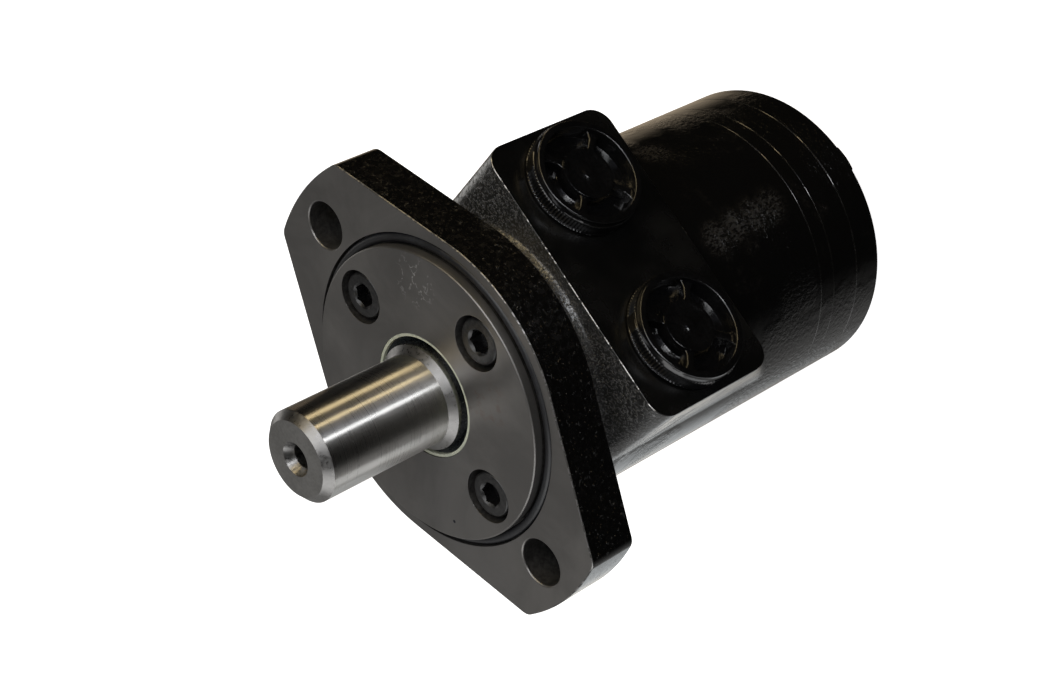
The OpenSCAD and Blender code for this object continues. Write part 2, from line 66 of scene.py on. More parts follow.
# ---------------------------------------------------------------- camera
camera_data = bpy.data.cameras.new("camera")
camera_data.sensor_width = 36
camera_data.lens = 71.53
camera_data.clip_start = 0.01
camera = bpy.data.objects.new("camera", camera_data)
bpy.context.scene.collection.objects.link(camera)
bpy.context.scene.camera = camera
CAMERA_PLACE = Vector((-0.08469, -0.44315, 0.31219))
VIEW = Vector((0.14704, 0.77965, -0.60871)).normalized()
IMAGE_UP = Vector((0.82922, -0.43265, -0.35385))
RIGHT = VIEW.cross(IMAGE_UP).normalized()
UP = RIGHT.cross(VIEW)
turn = Matrix((RIGHT, UP, -VIEW)).transposed().to_4x4()
camera.matrix_world = Matrix.Translation(CAMERA_PLACE) @ turn

# ---------------------------------------------------------------- sizes of the frame, in mm
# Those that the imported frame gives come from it; the others are the same as in the CAD
PLUG_RIM = 6.1              # how far a plug stands out of the pad
PAD_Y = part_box("port_plug_a")[0].y / MM + PLUG_RIM
PORT_X = [(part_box(n)[0].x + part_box(n)[1].x) / 2 / MM for n in ("port_plug_a", "port_plug_b")]
PORT_Z = (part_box("port_plug_a")[0].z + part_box("port_plug_a")[1].z) / 2 / MM
FLANGE_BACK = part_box("mounting_flange")[0].z / MM
HOUSING_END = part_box("housing")[0].z / MM
BODY_R = 43.1
NECK_R = 40.6
NECK_FILLET = 5.8
BLOCK_FILLET = 2.7          # between the neck and the block's front
NECK_BLEND = -28
BLOCK_FRONT = -22.75
PAD_REAR = -66.45
PAD_HALF = 41.5
PAD_CORNER = 6
BLOCK_Y = PAD_Y + 0.8
RAMP_END_Z = -99            # the ramp behind the block ends here, inside the round body
BLOCK_ROOT_Y = -8
BLOCK_TAPER = 0.75          # how much narrower the block is at its root
PLATE_T = 1.6               # the flat plate on the port block
CASTING_EXTRA = 4           # cast past the rear face, then cut flat
SPOOL_R = 18.03
SPOOL_GROOVE_Z = (-62, -53.5, -37)
SPOOL_GROOVE_R = 21.5
SPOOL_GROOVE_HALF = 2.25
THRUST_R = 23.7
THRUST_END = -20.6
FACE_GROOVE = (24.6, 26.6)
FACE_GROOVE_END = -16.9
REAR_GROOVE = (38.8, 40.8)
REAR_GROOVE_END = -107.6
REAR_FACE = -135            # behind this only the end cover's outer face is left
THREAD_R = 4.05
CAP_COUNT = 4
CAP_CIRCLE = 31.35
CAP_HOLE_END = -29
BOLT_COUNT = 7
BOLT_CIRCLE = 33
BOLT_HOLE_END = -94.4
PORT_CORE_R = 9.6
PORT_MOUTH_R = 13.2
PORT_MOUTH_DEPTH = 2.3
DRAIN_Y = 41.6
DRAIN_Z = -62
HOLE_X = 53.19
HOLE_WALL = 7.2             # a little more than a mounting hole's radius
WAIST_R = 46.3              # a little less than the flange's radius at its waist
PILOT_GROOVE = (40, 44.4)


# ---------------------------------------------------------------- mesh helpers
def new_object(name, bm):
    mesh = bpy.data.meshes.new(name)
    bm.to_mesh(mesh)
    bm.free()
    obj = bpy.data.objects.new(name, mesh)
    bpy.context.scene.collection.objects.link(obj)
    return obj


def applied(obj):
    """obj with its modifiers made part of its mesh."""
    graph = bpy.context.evaluated_depsgraph_get()
    mesh = bpy.data.meshes.new_from_object(obj.evaluated_get(graph))
    old = obj.data
    obj.modifiers.clear()
    obj.data = mesh
    bpy.data.meshes.remove(old)
    return obj


def combine(obj, other, operation):
    """obj joined with or cut by other, which is used up."""
    mod = obj.modifiers.new("combine", "BOOLEAN")
    mod.object = other
    mod.operation = operation
    mod.solver = "MANIFOLD"
    applied(obj)
    bpy.data.objects.remove(other)
    return obj


def lathe(bm, profile, segments=96, shape=None, matrix=None, closed=False):
    """Adds a solid of revolution about Z to bm. profile is (r, z) in mm, and r = 0 is a pole."""
    rings = []
    for r, z in profile:
        if r < 1e-6:
            rings.append([bm.verts.new((0, 0, z * MM))])
            continue
        ring = []
        for i in range(segments):
            a = 2 * pi * i / segments
            rr = (r + (shape(r, z, a) if shape else 0)) * MM
            ring.append(bm.verts.new((rr * cos(a), rr * sin(a), z * MM)))
        rings.append(ring)
    pairs = list(zip(rings, rings[1:])) + ([(rings[-1], rings[0])] if closed else [])
    faces = []
    for low, high in pairs:
        for i in range(segments):
            j = (i + 1) % segments
            corner = [low[i % len(low)], low[j % len(low)], high[j % len(high)], high[i % len(high)]]
            unique = list(dict.fromkeys(corner))
            if len(unique) > 2:
                faces.append(bm.faces.new(unique))
    verts = [v for ring in rings for v in ring]
    if matrix is not None:
        bmesh.ops.transform(bm, matrix=matrix, verts=verts)
    bmesh.ops.recalc_face_normals(bm, faces=faces)
    return faces


def prism(bm, outline, low, high, edge=0.0, matrix=None):
    """Adds an extruded outline to bm, with its top edges rounded by edge. All in mm."""
    bottom = [bm.verts.new((x * MM, y * MM, low * MM)) for x, y in outline]
    top = [bm.verts.new((x * MM, y * MM, high * MM)) for x, y in outline]
    n = len(outline)
    faces = [bm.faces.new(bottom[::-1]), bm.faces.new(top)]
    for i in range(n):
        j = (i + 1) % n
        faces.append(bm.faces.new((bottom[i], bottom[j], top[j], top[i])))
    bmesh.ops.recalc_face_normals(bm, faces=faces)
    if edge:
        rim = [e for e in bm.edges if e.verts[0] in top and e.verts[1] in top]
        out = bmesh.ops.bevel(bm, geom=rim, offset=edge * MM, segments=3, profile=0.5,
                              affect="EDGES", clamp_overlap=True)
        faces = [f for f in faces if f.is_valid] + out["faces"]
    if matrix is not None:
        verts = list({v for f in faces for v in f.verts})
        bmesh.ops.transform(bm, matrix=matrix, verts=verts)
    return faces


def arc(cx, cy, r, a, b, count):
    """Points of an arc from angle a to b, in degrees."""
    return [(cx + r * cos(radians(a + (b - a) * i / count)),
             cy + r * sin(radians(a + (b - a) * i / count))) for i in range(count + 1)]


def rounded_rectangle(half, low, high, r, count=8):
    """Outline in (x, y), from -half to half across and low to high."""
    return (arc(half - r, low + r, r, -90, 0, count) + arc(half - r, high - r, r, 0, 90, count)
            + arc(-half + r, high - r, r, 90, 180, count)
            + arc(-half + r, low + r, r, 180, 270, count))


def at_port(x):
    """Matrix that puts +Z on a port's axis, pointing out of the pad."""
    place = Matrix.Translation((x * MM, PAD_Y * MM, PORT_Z * MM))
    return place @ Matrix.Rotation(pi / 2, 4, "X")


def cad_solid(node):
    """The CAD node's mesh, welded, with its flat faces whole."""
    bm = bmesh.new()
    bm.from_mesh(nodes[node].data)
    bmesh.ops.remove_doubles(bm, verts=bm.verts, dist=1e-6)
    bmesh.ops.dissolve_limit(bm, angle_limit=radians(0.5), verts=bm.verts, edges=bm.edges)
    return bm


def round_edges(bm, width, where=None, angle=28, segments=2, material=0):
    """Rounds the edges that bend more than angle, and where the test on their middle holds."""
    edges = []
    for e in bm.edges:
        if len(e.link_faces) != 2 or e.calc_face_angle(0) < radians(angle):
            continue
        middle = (e.verts[0].co + e.verts[1].co) / 2 / MM
        if where is None or where(middle):
            edges.append(e)
    bmesh.ops.bevel(bm, geom=edges, offset=width * MM, offset_type="OFFSET", segments=segments,
                    profile=0.5, affect="EDGES", clamp_overlap=True, material=material)


def finish_mesh(obj, sharp=40, weighted=True):
    """Smooth shading that keeps edges sharper than the given angle."""
    mesh = obj.data
    for name in ("custom_normal", "sharp_face"):
        if name in mesh.attributes:
            mesh.attributes.remove(mesh.attributes[name])
    mesh.shade_smooth()
    mesh.set_sharp_from_angle(angle=radians(sharp))
    if weighted:
        mod = obj.modifiers.new("normals", "WEIGHTED_NORMAL")
        mod.keep_sharp = True
    return obj


def dress(obj, body, materials, replaced=(), zone=None):
    """Gives a piece its body and materials; zone(middle in mm, normal, old) picks one."""
    mesh = obj.data
    kept = [p.material_index for p in mesh.polygons]
    mesh.materials.clear()
    for m in materials:
        mesh.materials.append(m)
    if zone:
        for p, old in zip(mesh.polygons, kept):
            p.material_index = zone(p.center / MM, p.normal, old)
    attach(obj, body)
    if replaced:
        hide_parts(*replaced)
    return obj


# ---------------------------------------------------------------- material helpers
class Finish:
    """A node material with one Principled shader, and short calls for its texture nodes."""

    def __init__(self, name, **values):
        self.material = bpy.data.materials.new(name)
        self.material.use_nodes = True
        self.tree = self.material.node_tree
        self.shader = next(n for n in self.tree.nodes if n.type == "BSDF_PRINCIPLED")
        self.place = self.node("ShaderNodeTexCoord").outputs["Object"]
        self.normal = None
        for key, value in values.items():
            self.shader.inputs[key.replace("_", " ")].default_value = value

    def node(self, kind, inputs=None, **props):
        n = self.tree.nodes.new(kind)
        for key, value in props.items():
            setattr(n, key, value)
        for key, value in (inputs or {}).items():
            if isinstance(value, bpy.types.NodeSocket):
                self.tree.links.new(value, n.inputs[key])
            else:
                n.inputs[key].default_value = value
        return n

    def noise(self, scale, detail=4.0, rough=0.55, place=None, distortion=0.0):
        return self.node("ShaderNodeTexNoise", {"Vector": place or self.place, "Scale": scale,
                         "Detail": detail, "Roughness": rough, "Distortion": distortion}
                         ).outputs["Fac"]

    def cells(self, scale):
        return self.node("ShaderNodeTexVoronoi", {"Vector": self.place, "Scale": scale}
                         ).outputs["Distance"]

    def stretch(self, scale):
        return self.node("ShaderNodeMapping", {"Vector": self.place, "Scale": scale}
                         ).outputs["Vector"]

    def math(self, op, a, b=0.0):
        return self.node("ShaderNodeMath", {0: a, 1: b}, operation=op).outputs[0]

    def span(self, value, low, high, to_low=0.0, to_high=1.0):
        return self.node("ShaderNodeMapRange", {"Value": value, "From Min": low, "From Max": high,
                         "To Min": to_low, "To Max": to_high},
                         interpolation_type="SMOOTHSTEP").outputs["Result"]

    def blend(self, factor, a, b):
        n = self.node("ShaderNodeMix", data_type="RGBA")
        for key, value in ((0, factor), (6, a), (7, b)):
            if isinstance(value, bpy.types.NodeSocket):
                self.tree.links.new(value, n.inputs[key])
            else:
                n.inputs[key].default_value = (*value, 1.0) if key else value
        return n.outputs[2]

    def to(self, socket, value):
        self.tree.links.new(value, self.shader.inputs[socket])

    def bump(self, height, strength, depth):
        """Adds relief: depth in mm for a height of 1."""
        inputs = {"Height": height, "Strength": strength, "Distance": depth * MM}
        if self.normal is not None:
            inputs["Normal"] = self.normal
        self.normal = self.node("ShaderNodeBump", inputs).outputs["Normal"]
        self.to("Normal", self.normal)
        self.to("Coat Normal", self.normal)

    def spot(self, x, y, z, size):
        """1 near a place given in mm, fading to 0 over the given size."""
        gap = self.node("ShaderNodeVectorMath", {0: self.place, 1: (x * MM, y * MM, z * MM)},
                        operation="DISTANCE").outputs["Value"]
        return self.span(gap, 0.2 * size * MM, size * MM, 1.0, 0.0)

    def radius(self):
        """Distance from the shaft's axis and height, as sockets in metres."""
        parts = self.node("ShaderNodeSeparateXYZ", {0: self.place}).outputs
        square = self.math("ADD", self.math("MULTIPLY", parts[0], parts[0]),
                           self.math("MULTIPLY", parts[1], parts[1]))
        return self.math("SQRT", square), parts[2]


def machined_iron():
    m = Finish("machined_iron", Metallic=0.85, Specular_IOR_Level=0.3)
    smudge = m.noise(38, 5, 0.6, distortion=0.6)
    fine = m.noise(1400, 2, 0.5)
    tone = m.blend(m.span(smudge, 0.32, 0.7), (0.17, 0.165, 0.16), (0.235, 0.228, 0.22))
    line = m.math("ABSOLUTE", m.math("SUBTRACT", m.noise(150, 3, 0.7), 0.5))
    chalk = m.math("MULTIPLY", m.span(line, 0.004, 0.022, 1.0, 0.0), m.spot(23, -24, 2.8, 9))
    chalk = m.math("MULTIPLY", chalk, m.span(m.noise(900), 0.4, 0.6))
    tone = m.blend(chalk, tone, (0.62, 0.61, 0.60))
    stain = m.math("MULTIPLY", m.spot(-13, -22, 2.8, 10), m.span(m.noise(210, 4, 0.7), 0.5, 0.65))
    tone = m.blend(m.math("MULTIPLY", stain, 0.35), tone, (0.17, 0.085, 0.06))
    dots = m.span(m.cells(85), 0.03, 0.055, 1.0, 0.0)
    dots = m.math("MULTIPLY", dots, m.span(m.noise(60), 0.52, 0.56))
    m.to("Base Color", m.blend(dots, tone, (0.025, 0.028, 0.04)))
    m.to("Roughness", m.math("ADD", m.span(smudge, 0.3, 0.72, 0.30, 0.39),
                             m.math("MULTIPLY", fine, 0.06)))
    r, _ = m.radius()
    wave = m.math("SINE", m.math("MULTIPLY", r, 2 * pi / (0.32 * MM)))
    m.bump(wave, 0.12, 0.004)
    m.bump(fine, 0.25, 0.012)
    return m.material


def worn_edge(name, bare, paint, amount):
    """Bare metal that shows along an edge, broken up by what is left of the paint."""
    m = Finish(name, Roughness=0.34)
    chips = m.math("ADD", m.math("MULTIPLY", m.noise(260, 3), 0.6),
                   m.math("MULTIPLY", m.noise(1100, 2), 0.4))
    mask = m.span(chips, amount, amount + 0.07)
    m.to("Base Color", m.blend(mask, paint, bare))
    m.to("Metallic", mask)
    m.bump(chips, 0.4, 0.05)
    return m.material


def cast_paint(name, grain, depth, rough, tone, chip_and_glint, chip_glint_at, ridge_at, coat_ior):
    """Black paint over a rough casting: wrinkles with steep sides, and specks that are partly paint
    worn thin and partly painted glints.
    """
    m = Finish(name, Coat_Weight=0.8, Coat_Roughness=0.08, Coat_IOR=coat_ior)
    lumps = m.noise(grain, 5, 0.62)
    ridges = m.span(m.noise(grain * 0.75, 4, 0.6), ridge_at, ridge_at + 0.08)
    # The specks' lighter colour is partly paint worn thin and partly painted glints on the grains.
    specks_and_glints = m.span(m.noise(grain * 1.5, 2, 0.5), chip_glint_at, chip_glint_at + 0.05)
    m.to("Base Color", m.blend(specks_and_glints, tone, chip_and_glint))
    m.to("Roughness", m.span(m.noise(grain * 0.6, 3), 0.3, 0.7, rough - 0.06, rough + 0.12))
    m.bump(m.noise(grain * 0.2, 3, 0.5), 0.6, depth * 2.0)
    m.bump(ridges, 1.0, depth)
    m.bump(lumps, 0.7, depth * 0.6)
    return m.material


def gloss_paint():
    """The sprayed black gloss of the body, with orange peel and dusty patches."""
    m = Finish("gloss_paint", Coat_Weight=0.7, Coat_Roughness=0.07, IOR=1.5)
    dust = m.math("MULTIPLY", m.span(m.noise(42, 6, 0.66, distortion=0.8), 0.5, 0.74),
                  m.span(m.noise(900, 2), 0.35, 0.7))
    rubbed = m.spot(26, -34, -82, 8)
    for x, z in ((-5.0, -76), (-4.5, -84), (-4.0, -92), (-3.5, -100)):
        rubbed = m.math("MAXIMUM", rubbed, m.spot(x, -42.8, z, 7.5))
    flecks = m.span(m.noise(1500, 5, 0.72, place=m.stretch((1, 1, 0.5))), 0.38, 0.64)
    dust = m.math("MAXIMUM", dust, m.math("MULTIPLY", rubbed, flecks))
    m.to("Base Color", m.blend(dust, (0.0028, 0.0027, 0.0026), (0.017, 0.0155, 0.0135)))
    m.to("Roughness", m.span(dust, 0.0, 1.0, 0.17, 0.5))
    patch = m.span(m.noise(34, 3, 0.6), 0.44, 0.58)
    m.bump(m.math("MULTIPLY", patch, m.noise(800, 3, 0.6)), 0.9, 0.34)
    m.bump(m.noise(420, 3, 0.5), 0.5, 0.07)
    m.bump(m.noise(130, 2, 0.5), 0.5, 0.12)
    m.bump(m.span(m.cells(900), 0.0, 0.25, 1.0, 0.0), 0.25, 0.02)
    return m.material


def pad_paint():
    """The smooth black of the port pad, with a faint haze."""
    m = Finish("pad_paint", IOR=1.45)
    haze = m.noise(60, 4, 0.6)
    m.to("Base Color", m.blend(m.span(haze, 0.4, 0.75), (0.0018, 0.0018, 0.0018),
                               (0.0036, 0.0035, 0.0033)))
    m.to("Roughness", m.span(haze, 0.3, 0.75, 0.21, 0.31))
    m.bump(m.noise(2200, 2), 0.25, 0.008)
    m.bump(m.noise(300, 3), 0.15, 0.01)
    return m.material


def ground_steel():
    """A cylindrically ground bar: fine lines round the axis, with a few nicks."""
    m = Finish("ground_steel", Metallic=1.0, Anisotropic=1.0, Anisotropic_Rotation=0.25)
    m.to("Tangent", m.node("ShaderNodeTangent", direction_type="RADIAL", axis="Z").outputs[0])
    r, z = m.radius()
    lines = m.noise(1.0, 4, 0.7, place=m.node("ShaderNodeCombineXYZ", {
        0: m.math("MULTIPLY", z, 9000.0), 1: m.math("MULTIPLY", r, 300.0)}).outputs[0])
    cloud = m.noise(90, 4, 0.6)
    m.to("Base Color", m.blend(cloud, (0.55, 0.535, 0.51), (0.66, 0.65, 0.63)))
    m.to("Roughness", m.math("ADD", m.span(lines, 0.3, 0.7, 0.25, 0.34),
                             m.span(cloud, 0.4, 0.8, 0.0, 0.05)))
    m.bump(lines, 0.3, 0.003)
    m.bump(m.span(m.noise(1500, 2), 0.70, 0.76), 0.6, 0.02)
    return m.material


def turned_steel():
    """Coarser turned faces: the shaft's end, chamfer, collar and bevel."""
    m = Finish("turned_steel", Metallic=1.0)
    r, z = m.radius()
    lines = m.noise(1.0, 3, 0.7, place=m.node("ShaderNodeCombineXYZ", {
        0: m.math("MULTIPLY", z, 7000.0), 1: m.math("MULTIPLY", r, 7000.0)}).outputs[0])
    scuff = m.noise(1100, 4, 0.7)
    m.to("Base Color", m.blend(scuff, (0.18, 0.176, 0.172), (0.33, 0.325, 0.318)))
    m.to("Roughness", m.span(scuff, 0.3, 0.7, 0.26, 0.42))
    m.bump(lines, 0.35, 0.01)
    m.bump(scuff, 0.3, 0.012)
    return m.material


def grainy(name, low, high, rough, grain=600, relief=0.02, metallic=0.0, coat=0.0, lines=False,
           coat_rough=0.1, coat_ior=1.5):
    """A plain stock finish: colour and gloss that vary with a fine grain."""
    m = Finish(name, Metallic=metallic, Coat_Weight=coat, Coat_Roughness=coat_rough,
               Coat_IOR=coat_ior)
    fac = m.noise(grain, 3, 0.6)
    cloud = m.noise(grain * 0.08, 4, 0.6)
    both = m.math("ADD", m.math("MULTIPLY", fac, 0.5), m.math("MULTIPLY", cloud, 0.5))
    m.to("Base Color", m.blend(m.span(both, 0.35, 0.65), low, high))
    m.to("Roughness", m.span(both, 0.35, 0.65, rough[0], rough[1]))
    m.bump(fac, 0.4, relief)
    if lines:
        r, z = m.radius()
        m.bump(m.noise(1.0, 3, 0.6, place=m.node("ShaderNodeCombineXYZ", {
            0: m.math("MULTIPLY", z, 5000.0), 1: m.math("MULTIPLY", r, 5000.0)}).outputs[0]),
            0.3, 0.006)
    return m.material


IRON = machined_iron()
# Bored iron with real turning lines; its darker tone is painted shade in bores, grooves and pockets.
IRON_RECESS_SHADE = grainy("bored_iron_painted_shade", (0.06, 0.058, 0.056), (0.13, 0.125, 0.12), (0.34, 0.5), 900, 0.02,
                   metallic=0.8, lines=True)
EDGE_FLANGE = worn_edge("flange_edge", (0.30, 0.295, 0.29), (0.05, 0.049, 0.047), 0.46)
EDGE_PAD = worn_edge("pad_edge", (0.55, 0.54, 0.52), (0.01, 0.01, 0.01), 0.48)
EDGE_SEAM = worn_edge("seam_edge", (0.50, 0.48, 0.44), (0.004, 0.004, 0.004), 0.6)
# The chip colours are partly painted glints: golden-brown on the flange's edge and cover bolts, pale
# grey on the neck.
CAST = cast_paint("cast_flange_paint", 1150, 0.05, 0.20, (0.0024, 0.0023, 0.0022),
                  (0.06, 0.048, 0.032), 0.68, 0.62, 1.5)
CAST_GREY = cast_paint("cast_neck_paint", 1300, 0.16, 0.34, (0.011, 0.011, 0.0108),
                       (0.065, 0.065, 0.064), 0.54, 0.52, 1.7)
GLOSS = gloss_paint()
GLOSS_SEAM = grainy("seam_paint", (0.003, 0.003, 0.0028), (0.012, 0.0115, 0.0105), (0.14, 0.30),
                    480, 0.10, coat=1.0, coat_rough=0.05, coat_ior=1.8)
PAD = pad_paint()
STEEL = ground_steel()
TURNED = turned_steel()
RUBBER = grainy("black_rubber", (0.010, 0.0105, 0.012), (0.020, 0.021, 0.024), (0.32, 0.46),
                1500, 0.006)
LIP_RUBBER = grainy("lip_rubber", (0.006, 0.008, 0.009), (0.016, 0.021, 0.023), (0.22, 0.34),
                    900, 0.004)
CREAM = grainy("seal_casing", (0.42, 0.45, 0.36), (0.62, 0.63, 0.50), (0.3, 0.45), 700, 0.01)
PLASTIC = grainy("moulded_plastic", (0.0022, 0.0022, 0.0024), (0.0042, 0.0042, 0.0046), (0.09, 0.16),
                 900, 0.13, coat=0.5, coat_rough=0.04, coat_ior=1.5)
OXIDE = grainy("black_oxide", (0.018, 0.018, 0.019), (0.042, 0.041, 0.042), (0.26, 0.42), 800, 0.01,
               metallic=0.6)
OXIDE_WORN = grainy("black_oxide_worn", (0.035, 0.035, 0.036), (0.075, 0.075, 0.075), (0.3, 0.4),
                    900, 0.01, metallic=0.8)
# Near-black painted shade for the inside of the hex sockets.
SOCKET_SHADE = grainy("socket_painted_shade", (0.002, 0.002, 0.0022), (0.006, 0.006, 0.0065), (0.2, 0.35),
                900, 0.01)
ZINC = grainy("zinc_plate", (0.50, 0.48, 0.42), (0.66, 0.64, 0.58), (0.2, 0.34), 500, 0.01,
              metallic=1.0)
COPPER = grainy("copper", (0.48, 0.22, 0.13), (0.66, 0.34, 0.21), (0.25, 0.4), 600, 0.01,
                metallic=1.0)
BRASS = grainy("brass", (0.52, 0.38, 0.16), (0.70, 0.54, 0.27), (0.24, 0.36), 600, 0.01, metallic=1.0)
FACED = grainy("faced_steel", (0.29, 0.285, 0.275), (0.40, 0.395, 0.385), (0.34, 0.46), 1300, 0.01,
               metallic=1.0, lines=True)
HARD = grainy("hardened_steel", (0.34, 0.34, 0.35), (0.50, 0.50, 0.50), (0.16, 0.28), 900, 0.006,
              metallic=1.0, lines=True)


# ---------------------------------------------------------------- mounting flange
def hole_gap(p):
    """How far a point in mm is from the axis of the nearer mounting hole."""
    return min(hypot(p.x - HOLE_X, p.y), hypot(p.x + HOLE_X, p.y))


def perimeter(p):
    """Is a point in mm on the outside edge of the flange plate?"""
    return hypot(p.x, p.y) > WAIST_R and hole_gap(p) > HOLE_WALL + 0.8


def build_flange():
    """The CAD flange with rounded edges; between 2 and 2.7 mm lie the pockets' chamfers."""
    bm = cad_solid("mounting_flange")
    round_edges(bm, 0.55, lambda p: perimeter(p) and p.z < FLANGE_BACK + 0.5, segments=4)
    round_edges(bm, 0.32, lambda p: perimeter(p) and p.z > -0.5, segments=3, material=1)
    round_edges(bm, 0.16, lambda p: p.z > -0.6 and not perimeter(p) and not 2 < p.z < 2.7,
                segments=2, material=1)
    obj = new_object("flange_plate", bm)
    finish_mesh(obj)

    def zone(p, normal, old):
        r = hypot(p.x, p.y)
        if old == 1:
            return 1 if perimeter(p) else 0
        if r > WAIST_R and hole_gap(p) > HOLE_WALL and normal.z < 0.5 and p.z < -0.2:
            return 2
        # Hole, groove and pocket walls take the darker iron, a painted shade in these recesses.
        if hole_gap(p) < HOLE_WALL and abs(normal.z) < 0.6:
            return 3
        if normal.z < -0.5:
            return 2
        groove = PILOT_GROOVE[0] < r < PILOT_GROOVE[1] and p.z < -0.05
        pocket = abs(normal.z) < 0.5 and r < PILOT_GROOVE[0]
        return 3 if groove or pocket else 0

    return dress(obj, "root", [IRON, EDGE_FLANGE, CAST, IRON_RECESS_SHADE],
                 ["mounting_flange"], zone)


# ---------------------------------------------------------------- housing
VOXEL = 0.76


def block_fillet(r, z, a):
    """How far the neck swells where it runs into the front of the port block."""
    up = (z - BLOCK_FRONT) / BLOCK_FILLET
    if r > NECK_R + 0.01 or not -0.01 < up < 1:
        return 0
    facing = min(1, max(0, (-sin(a) - 0.25) / 0.15))
    return facing * BLOCK_FILLET * (1 - sqrt(max(0, 1 - (1 - up) ** 2)))


def outer_casting():
    """The filled outside of the housing: the round body and the port block in one skin."""
    bm = bmesh.new()
    flare = arc(NECK_R + NECK_FILLET, FLANGE_BACK - NECK_FILLET, NECK_FILLET, 180, 90, 10)
    beyond = HOUSING_END - CASTING_EXTRA
    neck = [(NECK_R, BLOCK_FRONT + BLOCK_FILLET * up) for up in (0, 0.03, 0.1, 0.22, 0.4, 0.65, 1)]
    lathe(bm, [(0, beyond), (BODY_R, beyond), (BODY_R, NECK_BLEND)] + neck + flare
          + [(0, FLANGE_BACK)], 192, shape=block_fillet)
    body = new_object("housing_casting", bm)
    bm = bmesh.new()
    levels = [(BLOCK_Y, PAD_HALF, PAD_REAR), (BLOCK_ROOT_Y, PAD_HALF - BLOCK_TAPER, RAMP_END_Z)]
    loops = []
    for y, half, rear in levels:
        outline = rounded_rectangle(half, rear, BLOCK_FRONT, PAD_CORNER)
        loops.append([bm.verts.new((x * MM, y * MM, z * MM)) for x, z in outline])
    n = len(loops[0])
    faces = [bm.faces.new(loops[0]), bm.faces.new(loops[1][::-1])]
    for i in range(n):
        j = (i + 1) % n
        faces.append(bm.faces.new((loops[0][i], loops[1][i], loops[1][j], loops[0][j])))
    bmesh.ops.recalc_face_normals(bm, faces=faces)
    combine(body, new_object("block", bm), "UNION")
    mod = body.modifiers.new("cast", "REMESH")
    mod.mode = "VOXEL"
    mod.voxel_size = VOXEL * MM
    smooth = body.modifiers.new("smooth", "SMOOTH")
    smooth.factor = 0.5
    smooth.iterations = 5
    applied(body)
    for v in body.data.vertices:
        x, y, z = v.co / MM
        r = hypot(x, y)
        if z < NECK_BLEND - 0.5:
            pull = min(1, max(0, (0.7 - abs(r - BODY_R)) / 0.4))
            scale = (r + (BODY_R - r) * pull) / r
            v.co.x *= scale
            v.co.y *= scale
        if z > FLANGE_BACK - 0.35:
            v.co.z = FLANGE_BACK * MM
    bm = bmesh.new()
    lathe(bm, [(0, beyond - 2), (60, beyond - 2), (60, HOUSING_END), (0, HOUSING_END)], 96)
    combine(body, new_object("end_cut", bm), "DIFFERENCE")
    bm = bmesh.new()
    bm.from_mesh(body.data)
    round_edges(bm, 0.3, lambda p: p.z < HOUSING_END + 0.05, angle=60, segments=2, material=1)
    bm.to_mesh(body.data)
    bm.free()
    return body


def housing_cuts():
    """Bores, pockets, screw holes and ports, as solids to take out of the casting."""
    bm = bmesh.new()
    beyond = HOUSING_END - 1
    above = FLANGE_BACK + 1
    bore = [(0, beyond), (SPOOL_R, beyond)]
    for z in SPOOL_GROOVE_Z:
        low, high = z - SPOOL_GROOVE_HALF, z + SPOOL_GROOVE_HALF
        bore += [(SPOOL_R, low), (SPOOL_GROOVE_R, low), (SPOOL_GROOVE_R, high), (SPOOL_R, high)]
    bore += [(SPOOL_R, THRUST_END), (THRUST_R, THRUST_END), (THRUST_R, above), (0, above)]
    lathe(bm, bore, 96)
    inner, outer = FACE_GROOVE
    lathe(bm, [(inner, FACE_GROOVE_END), (outer, FACE_GROOVE_END), (outer, above), (inner, above)],
          96, closed=True)
    inner, outer = REAR_GROOVE
    lathe(bm, [(inner, beyond), (outer, beyond), (outer, REAR_GROOVE_END), (inner, REAR_GROOVE_END)],
          128, closed=True)
    for i in range(CAP_COUNT):
        spin = Matrix.Rotation(pi / 2 * i, 4, "Z") @ Matrix.Translation((CAP_CIRCLE * MM, 0, 0))
        lathe(bm, [(0, CAP_HOLE_END), (THREAD_R, CAP_HOLE_END), (THREAD_R, above), (0, above)], 32,
              matrix=spin)
    for i in range(BOLT_COUNT):
        spin = Matrix.Rotation(-pi / 2 + 2 * pi / BOLT_COUNT * i, 4, "Z")
        spin = spin @ Matrix.Translation((BOLT_CIRCLE * MM, 0, 0))
        lathe(bm, [(0, beyond), (THREAD_R, beyond), (THREAD_R, BOLT_HOLE_END), (0, BOLT_HOLE_END)],
              32, matrix=spin)
    for x in PORT_X:
        lathe(bm, port_hole(), 96, matrix=at_port(x))
    out = Matrix.Translation((0, DRAIN_Y * MM, DRAIN_Z * MM)) @ Matrix.Rotation(-pi / 2, 4, "X")
    lathe(bm, [(0, -13), (6.65, -13), (6.65, 0), (10, 0), (10, 6), (0, 6)], 96, matrix=out)
    return new_object("cuts", bm)


def port_hole():
    """Profile of a port: the thread's core and the wider mouth."""
    floor_of_port = PAD_Y + 30
    return [(0, floor_of_port), (PORT_CORE_R, floor_of_port), (PORT_CORE_R, -PORT_MOUTH_DEPTH),
            (PORT_MOUTH_R, -PORT_MOUTH_DEPTH), (PORT_MOUTH_R, 4), (0, 4)]


